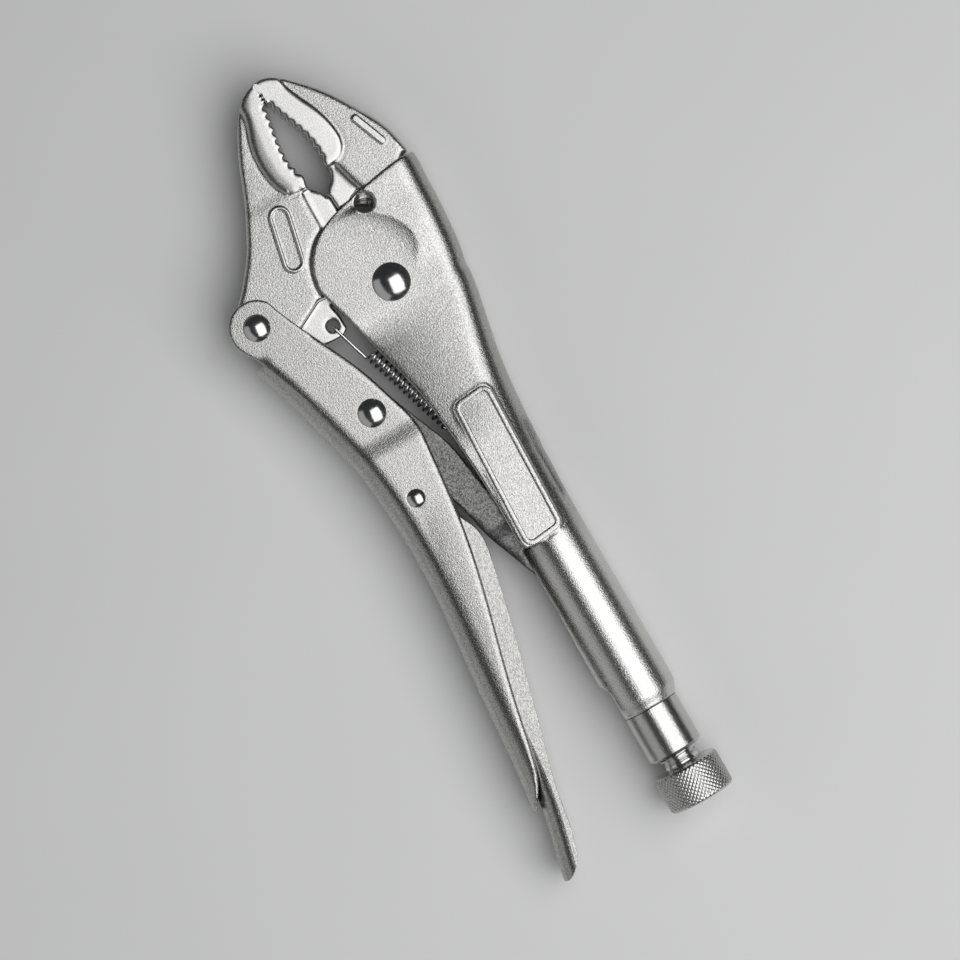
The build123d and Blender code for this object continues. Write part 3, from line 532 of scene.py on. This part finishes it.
def near_badge(shape):
    """Which points are at the upper jaw's raised bar or at the lower jaw's oval frame."""
    x, y = shape.x, shape.y
    bar = (abs(x + 42.3) < 8) & (abs(y - 16.7 - 0.38 * (x + 42.3)) < 2.4) & (y > 12.2)
    oval = (abs(x + 26.2) < 12.5) & (abs(y + 20.5 + 0.22 * (x + 26.2)) < 4.6)
    return bar | oval


def jaw_edges(shape, back):
    """Which points stand beside the mouth, on its bite, and on the jaw's outer walls."""
    x, y, facing = shape.x, shape.y, shape.normal[:, 1] * back
    upright = (abs(shape.normal[:, 2]) < 0.4) & (abs(shape.z) < 3.0)
    mouth = (x < -31) & (y > -9.8) & (y < 1.6)
    bite = upright & mouth & (facing < 0.2) & (x > -64.2) & (x < MOUTH_X)
    outer = upright & (facing > -0.2) & ((x < -4) | (y < -30)) & ~(mouth & (x > -66))
    return mouth, bite, outer


def edge_drop(shape, bite, outer, back):
    """How far points are sunk to round off the outer edges and to ease the bite's."""
    outer_wide = 0.35 + (1.25 if back > 0 else 0.75) * ease(shape.x, -67, -58)
    drop = np.zeros(len(shape.points))
    for chosen, wide, depth_share in ((outer, outer_wide, 0.9), (bite, 0.45, 0.6)):
        away = shape.away_from(shape.marks(chosen, 3))
        drop = np.maximum(drop, depth_share * wide * quarter_round(away, wide))
    return drop


def shut_nose(shape, back):
    """Closes the nose, so that it shows no seam, only small round holes; says which points it has."""
    nose_band, seam_band = 0.8, 0.45
    along = (shape.x - SEAM_START_X) / SEAM_LENGTH
    upper, lower = (start + rise * along for start, rise in (UPPER_SEAM, LOWER_SEAM))
    beyond = shape.y - (upper if back > 0 else lower)
    nose = (shape.x < NOSE_X) & (abs(beyond) < nose_band)
    at_seam = beyond * back < seam_band
    shut = (shape.x < NOSE_X) & at_seam & (abs(shape.normal[:, 2]) < 0.9)
    middle = (upper + lower) / 2 - NOSE_OVERLAP * back
    shape.points[:, 1] += shut * (1 - ease(shape.x, NOSE_X - 0.4, NOSE_X)) * (middle - shape.points[:, 1])
    # the lower jaw's face is a little deeper there, so that the two don't coincide
    top = shape.height[nose].max() - (0.0 if back > 0 else 0.01)
    shape.raise_to(top, nose & (shape.height > CHEEK + 0.1) & at_seam)
    hole_depth, hole_radius = 1.2, 0.5
    for hole_x, hole_y in NOSE_HOLES:
        away = np.hypot(shape.x - hole_x, shape.points[:, 1] - hole_y)
        shape.sink(hole_depth * np.clip(1 - away / hole_radius, 0, 1) * (shape.height > CHEEK - 0.2))
    return nose


def thin_tail(shape):
    """Behind the sight hole only the edge of the upper jaw's tail stands up."""
    inside = TAIL_INWARD[0] * (shape.x - TAIL_EDGE[0]) + TAIL_INWARD[1] * (shape.y - TAIL_EDGE[1])
    from_hole = np.hypot(shape.x - SIGHT_HOLE[0], shape.y - SIGHT_HOLE[1])
    shape.points[:, 2] *= 1 - 0.6 * ease(inside, 0.45, 0.8) * (1 - ease(from_hole, 3.0, 3.5))


def sharpen_lips(shape, mouth, drop, back):
    """A fine groove at the foot of the raised lip; its edge is rounded, or chamfered on the lower jaw."""
    clear = ~near_badge(shape)
    flat = (abs(shape.normal[:, 2]) > 0.7) & clear
    wall = (shape.height > CHEEK) & (shape.height < CHEEK + 0.5) & (abs(shape.normal[:, 2]) < 0.6)
    wall &= (shape.x < MOUTH_X) & ~mouth & (shape.x > -66) & (drop == 0) & clear
    at_foot = (shape.height > CHEEK - 0.5) & (shape.height < CHEEK + 0.2)
    foot = np.flatnonzero(flat & at_foot & (shape.x < -33))
    away = shape.away_from(shape.marks(wall, 2), foot)
    shape.sink((0.2 if back > 0 else 0.35) * (1 - ease(away, 0.3, 1.0)), foot)
    top = np.flatnonzero((shape.height > CHEEK + 0.25) & (shape.x < -33))
    away = shape.away_from(shape.marks(wall, 2), top)
    shape.sink(0.3 * quarter_round(away, 0.6) if back > 0 else 0.32 * np.clip(1 - away / 1.1, 0, 1), top)


def follow_lever_ear(shape):
    """Keeps the lobe round the lower jaw's front pin as round as the lever's ear."""
    reach = np.hypot(shape.x - LEVER_PIN[0], shape.y - LEVER_PIN[1])
    lobe = (shape.x < LEVER_PIN[0]) & (shape.y < LEVER_PIN[1] - 2.0) & (reach > EAR_RADIUS)
    for axis, middle in enumerate(LEVER_PIN):
        shape.points[lobe, axis] = middle + (shape.points[lobe, axis] - middle) * EAR_RADIUS / reach[lobe]


def slope_lower_lip(shape):
    """The lower lip falls away below its crease."""
    below = np.clip(np.interp(shape.x, CREASE_X, CREASE_Y) - shape.y, 0, 4)
    shape.sink(0.075 * below * (1 - ease(shape.x, -40, -36)) * ease(shape.height, 5.5, 6.5))


def smooth_jaw(shape, nose, bite):
    """Relaxes the surface: the teeth stay crisp, the nose as it is, and the bar and oval are only eased."""
    beside_bite = shape.away_from(shape.marks(bite, 3)) < 1.3
    beside_seat = shape.away_from(polyline_marks(SEATS[shape.node])) < 2.0
    beside_seat &= (shape.height > 3.5) & (shape.height < CHEEK + 0.05) & ~beside_bite
    first = shape.shares(0.5)
    first[beside_bite, :2] = 0.03
    first[nose] = 0.0
    later = first.copy()
    later[near_badge(shape) & (abs(shape.normal[:, 2]) > 0.3)] = 0.0
    shape.relax(first, 4)
    shape.relax(later, 30)
    shape.relax(shape.shares(0.5) * beside_seat[:, None], 60)


def forged_jaw(node, body, back):
    """A jaw as forged: rounded back, soft steps, crisp teeth; back is +1 where the back faces up."""
    shape = EvenShape(node, JAW_VOXEL)
    mouth, bite, outer = jaw_edges(shape, back)
    drop = edge_drop(shape, bite, outer, back)
    nose = shut_nose(shape, back)
    shape.points[:, 2] *= 1 - drop / CHEEK
    if back > 0:
        thin_tail(shape)
    sharpen_lips(shape, mouth, drop, back)
    if back < 0:
        follow_lever_ear(shape)
        slope_lower_lip(shape)
    smooth_jaw(shape, nose, bite)
    shape.become(node + "_forging", jaw_metal, body, "jaw_steel")


# --------------------------------------------------------- body and panels
FLANK_X = (8, 20, 32, 46, 64)
FLANK_HALF = (7.7, 8.2, 8.8, 9.5, 9.9)
BODY_WALL = 2.4
PANEL = [(39.3, 9.7), (87.2, 8.2), (88.6, -4.9), (40.4, -2.9)]
PANEL_RISE = 0.12
# the bead round the panel: half its width, its rise, its distance inside the panel, and its corners
BEAD_HALF = 0.9
BEAD_RISE = 0.31
BEAD_INSET = 0.9
BEAD_CORNER = 2.2
BEAD_STEPS = 8
# the brow above the hub's hollow, the flank's half width at its foot, and how softly it falls there
BROW_X = (-23, -20.1, -17.1, -13.8, -9.9, -6.4, -3.3, 0)
BROW_Y = (2.5, 5.8, 9.2, 11.4, 12.8, 12.6, 11.0, 9)
HOLLOW_FOOT = 7.7
BROW_TOP_X, BROW_TOP_HALF = (-14, -10, -6, -2, 2), (8.6, 8.51, 8.24, 7.91, 7.74)
FALL_X, FALL_SPREAD = (-18, -14, -8, -3), (4.6, 4.2, 3.2, 2.4)
# the back's crown beside the window from which the spring's anchor is bent
CROWN_X = (50, 58, 76, 90)
CROWN_Y = (15.5, 14.9, 14.05, 13.9)


def flank_level(x):
    """Half width of the body over its flanks."""
    return np.interp(x, FLANK_X, FLANK_HALF)


def dish_depth(x, y):
    """How far the body's flank is dished behind the hub."""
    return 0.0026 * np.clip(11 - y, 0, None) ** 2 * ease(x, 4, 16) * (1 - ease(x, 44, 56))


def inside_panel(x, y, margin):
    """Whether places in the side view lie inside the panel, grown by a margin."""
    inside = np.ones(len(x), dtype=bool)
    for (x0, y0), (x1, y1) in zip(PANEL, PANEL[1:] + PANEL[:1]):
        length = math.hypot(x1 - x0, y1 - y0)
        inside &= ((x1 - x0) * (y - y0) - (y1 - y0) * (x - x0)) / length < margin
    return inside


def hollow_hub(shape):
    """The flank falls from a crisp brow into the hollow round the hub."""
    x = shape.x
    below = np.interp(x, BROW_X, BROW_Y) - shape.y
    top = np.interp(x, BROW_TOP_X, BROW_TOP_HALF)
    spread = np.interp(x, FALL_X, FALL_SPREAD)
    fallen = HOLLOW_FOOT + (top - HOLLOW_FOOT) * np.exp(-np.clip(below, 0, None) / spread)
    hollow = ease(x, -25.5, -22.5) * (1 - ease(x, -3, 2))
    hollow = hollow * (1 - ease(-below, 1.5, 3)) * (1 - ease(below, 9, 14))
    outside = (shape.height > 7.3) & (abs(shape.normal[:, 2]) > 0.6)
    shape.raise_to((1 - hollow) * shape.height + hollow * fallen, outside)


def level_crown(shape):
    """The crown stays level beside the window in the back."""
    crown = np.interp(shape.x, CROWN_X, CROWN_Y) - 0.02
    beside = ease(shape.x, 52, 56) * (1 - ease(shape.x, 78, 82)) * (1 - ease(shape.height, 3.4, 6.5))
    up = (shape.normal[:, 1] > 0.3) & (shape.y > 12.4)
    shape.points[:, 1] += beside * up * np.clip(crown - shape.y, 0, 0.8)


def pressed_body():
    """The body as pressed from sheet: soft folds, a dished flank behind the hub, a sloped hub hollow."""
    shape = EvenShape("body_channel", 0.4)
    flank = flank_level(shape.x)
    panel = inside_panel(shape.x, shape.y, 0.8) & (shape.height > flank - 0.5)
    shape.raise_to(np.minimum(shape.height, flank + PANEL_RISE), panel)
    skin = np.clip((shape.height - (flank - BODY_WALL)) / BODY_WALL, 0, 1)
    shape.sink(dish_depth(shape.x, shape.y) * skin)
    hollow_hub(shape)
    level_crown(shape)
    share = shape.shares(0.5)
    share[panel] = (0.5, 0.5, 0.25)
    # the edge of the sheet round the hub stays crisper
    share[(shape.x < -6) & (shape.y < 9)] = 0.2
    shape.relax(share, 4)
    # the folds behind the hub are softened further, in height only
    folds = shape.shares(0.0)
    folds[:, 2] = 0.5 * ease(shape.x, 8, 14) * (1 - ease(shape.x, 34, 38))
    shape.relax(folds, 16)
    shape.become("body_channel_pressing", body_metal, "body", "body_steel")


def bead_path():
    """The middle line of the bead, in the side view: arcs at the panel's corners and runs between."""
    run_step, run_end = 2.0, 4.5
    path = []
    for index, corner in enumerate(PANEL):
        corner = Vector(corner)
        next_corner = Vector(PANEL[(index + 1) % len(PANEL)])
        back = (Vector(PANEL[index - 1]) - corner).normalized()
        ahead = (next_corner - corner).normalized()
        opening = back.angle(ahead)
        middle = (back + ahead).normalized()
        centre = corner + middle * ((BEAD_CORNER + BEAD_INSET) / math.sin(opening / 2))
        first = centre + Vector((back.y, -back.x)) * BEAD_CORNER
        if (first - corner).dot(middle) > (centre - corner).dot(middle):
            first = centre - Vector((back.y, -back.x)) * BEAD_CORNER
        start = math.atan2(first.y - centre.y, first.x - centre.x)
        turn = -1 if back.x * ahead.y - back.y * ahead.x > 0 else 1
        for step in range(BEAD_STEPS + 1):
            angle = start + turn * (math.pi - opening) * step / BEAD_STEPS
            path.append(centre + Vector((math.cos(angle), math.sin(angle))) * BEAD_CORNER)
        run = (next_corner - path[-1]).length - run_end
        for _ in range(1, int(run / run_step)):
            path.append(path[-1] + ahead * run_step)
    return path


def panel_beads():
    """The raised bead round the bare panel on each flank."""
    sunk = -0.3
    path = bead_path()
    for side, name in ((1, "panel_bead_top"), (-1, "panel_bead_under")):
        rings = []
        for index, place in enumerate(path):
            along = (path[(index + 1) % len(path)] - path[index - 1]).normalized()
            across = Vector((-along.y, along.x))
            ring = []
            for step in range(BEAD_STEPS + 1):
                swing = math.pi * step / BEAD_STEPS
                spot = place + across * BEAD_HALF * math.cos(swing)
                level = float(flank_level(spot.x) + PANEL_RISE - dish_depth(spot.x, spot.y))
                rise = BEAD_RISE * math.sin(swing) if 0 < step < BEAD_STEPS else sunk
                ring.append(at(spot.x, spot.y, side * (level + rise)))
            rings.append(ring)
        ride_as_piece(name, mesh_of_rings(name, rings, closed=True), body_metal, "body", "body_steel")


# ---------------------------------------------------- lever, link, spring
JOGGLE = (38.2, 42.8)
JOGGLE_SOFT = 1.0
JOGGLE_STEP = 0.9
HANDLE_HALF = 8.2
FOLD_RADIUS = 6.8


def fold_cheeks(shape):
    """The cheeks follow the rounding of the web from its front end on."""
    places = np.arange(2.5, 24.5, 1.0)
    web = (abs(shape.z) < 2) & (abs(shape.normal[:, 1]) > 0.7)
    lowest = [shape.y[web & (abs(shape.x - place) < 0.6)].min() for place in places]
    under = np.interp(shape.x, places, lowest)
    below = np.clip(under + FOLD_RADIUS - shape.y, 0, FOLD_RADIUS)
    limit = 1.4 + np.sqrt(FOLD_RADIUS ** 2 - below ** 2)
    along = ease(shape.x, -1.0, 3.5) * (1 - ease(shape.x, 21, 23))
    shape.sink(np.clip(abs(shape.z) - limit, 0, None) * along)


def soften_joggle(shape):
    """The step from the cheeks out to the flanks eases in and out."""
    start, end = JOGGLE
    ramp = np.clip((shape.x - start) / (end - start), 0, 1)
    soft = ease(shape.x, start - JOGGLE_SOFT, end + JOGGLE_SOFT)
    shape.sink(-JOGGLE_STEP * (soft - ramp) * np.clip(abs(shape.z) / HANDLE_HALF, 0, 1))


def pressed_lever():
    """The lever as pressed from sheet: a soft joggle between cheeks and flanks, and rounded edges."""
    shape = EvenShape("lever_channel", 0.35)
    x, y, first_height = shape.x, shape.y, abs(shape.z)
    fold_cheeks(shape)
    soften_joggle(shape)
    # the flank falls away towards the web behind the release rivet
    skin = np.clip((first_height - 7.1) / 2.0, 0, 1)
    shape.sink(skin * 0.004 * np.clip(-19 - y - 0.12 * (x - 75), 0, 9) ** 2 * ease(x, 56, 70))
    # the flank's upper edge is rounded
    rim = (abs(shape.normal[:, 2]) < 0.4) & (shape.normal[:, 1] > 0.5) & (first_height > 6.4) & (x > 2)
    away = shape.away_from(shape.marks(rim, 3))
    shape.sink(0.6 * quarter_round(away, 1.7) * ease(first_height, 6.4, 7.4))
    shape.relax(shape.shares(0.5), 8)
    shape.become("lever_channel_pressing", lever_metal, "lever", "lever_steel")


def forged_link():
    """The toggle link as forged: its taper eases in and out, its edges are softened."""
    shape = EvenShape("toggle_link", 0.35)
    shape.relax(shape.shares(0.5), 3)
    taper = shape.shares(0.0)
    taper[:, 2] = 0.5 * ease(shape.x, 70, 74) * (1 - ease(shape.x, 88, 92))
    shape.relax(taper, 60)
    shape.become("toggle_link_forging", link_metal, "link", "link_steel")


def tension_spring():
    """The spring, copied from its CAD node, reaches from the body's anchor to the moving jaw's tab."""
    source = frame["nodes"]["tension_spring"]
    piece = bpy.data.objects.new("tension_spring_wire", source.data.copy())
    bpy.context.scene.collection.objects.link(piece)
    paint(piece, spring_metal)
    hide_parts("tension_spring")
    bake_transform(piece)


# painted shade in the knob's knurl grooves
paint_groove_shade(knob_metal, "knurled_knob", KNURL_DEPTH, KNOB_CORNER)
knurled_knob()
adjusting_screw()
forged_jaw("upper_jaw", "body", 1)
forged_jaw("lower_jaw", "lower_jaw", -1)
pressed_body()
panel_beads()
pressed_lever()
forged_link()
tension_spring()


# ------------------------------------------------------------ stage and light
# lengths from here on are in metres
LAMP_TARGET = at(50, -8)
FLOOR_REACH = 8.0
FLOOR_GAP = 0.0002


def studio_floor():
    """A wide pale floor under the tool."""
    material, shader, add = node_material("floor_paint")
    place = add("ShaderNodeTexCoord")
    cloud = add("ShaderNodeTexNoise", {"Vector": place.outputs["Object"]}, Scale=6.0, Detail=3.0)
    tone = add("ShaderNodeValToRGB", {"Fac": cloud.outputs["Fac"]})
    for element, position, grey in zip(tone.color_ramp.elements, (0.3, 0.7), (0.80, 0.83)):
        element.position = position
        element.color = (grey, grey, grey, 1.0)
    link(tone.outputs["Color"], shader.inputs["Base Color"])
    shader.inputs["Roughness"].default_value = 0.85
    corners = [(x * FLOOR_REACH, y * FLOOR_REACH, 0) for x, y in ((-1, -1), (1, -1), (1, 1), (-1, 1))]
    mesh = bpy.data.meshes.new("studio_floor")
    mesh.from_pydata(corners, [], [(0, 1, 2, 3)])
    floor = bpy.data.objects.new("studio_floor", mesh)
    bpy.context.scene.collection.objects.link(floor)
    floor.location.z = -FLOOR_GAP
    paint(floor, material)


def soft_box(name, offset, wide, deep, radiance):
    """A rectangular lamp aimed at the tool, its long side along the tool."""
    lamp = bpy.data.lights.new(name, "AREA")
    lamp.shape = "RECTANGLE"
    lamp.size = wide
    lamp.size_y = deep
    lamp.energy = radiance * math.pi * wide * deep
    box = bpy.data.objects.new(name, lamp)
    bpy.context.scene.collection.objects.link(box)
    away = Vector(offset).normalized()
    tool_way = Vector((1.0, 0.0, 0.0))
    long_side = (tool_way - away * tool_way.dot(away)).normalized()
    box.location = LAMP_TARGET + Vector(offset)
    box.rotation_euler = Matrix((long_side, away.cross(long_side), away)).transposed().to_euler()


def camera_above():
    """The camera looks straight down, turned so that the knob is at the lower right."""
    height = 1.1
    field = 0.2847
    view = bpy.data.cameras.new("camera")
    camera = bpy.data.objects.new("camera", view)
    bpy.context.scene.collection.objects.link(camera)
    bpy.context.scene.camera = camera
    # the sensor's width and the lens are in mm
    view.sensor_width = 36.0
    view.lens = view.sensor_width * height / field
    aim = at(63.65, -6.61)
    camera.location = (aim.x, aim.y, aim.z + height)
    camera.rotation_euler = (0.0, 0.0, math.radians(60))


def dim_sky():
    """A dim, slightly cool light from all round."""
    world = bpy.data.worlds.new("studio")
    world.use_nodes = True
    sky = world.node_tree.nodes["Background"]
    sky.inputs["Color"].default_value = (0.9, 0.95, 1.0, 1.0)
    sky.inputs["Strength"].default_value = 0.04
    bpy.context.scene.world = world


studio_floor()
camera_above()
soft_box("key", (0.28, 0.285, 0.78), 1.40, 0.98, 1.9)
soft_box("fill", (0.1, -0.82, 0.34), 1.8, 0.68, 0.42)
dim_sky()
bpy.context.scene.view_settings.view_transform = "Standard"
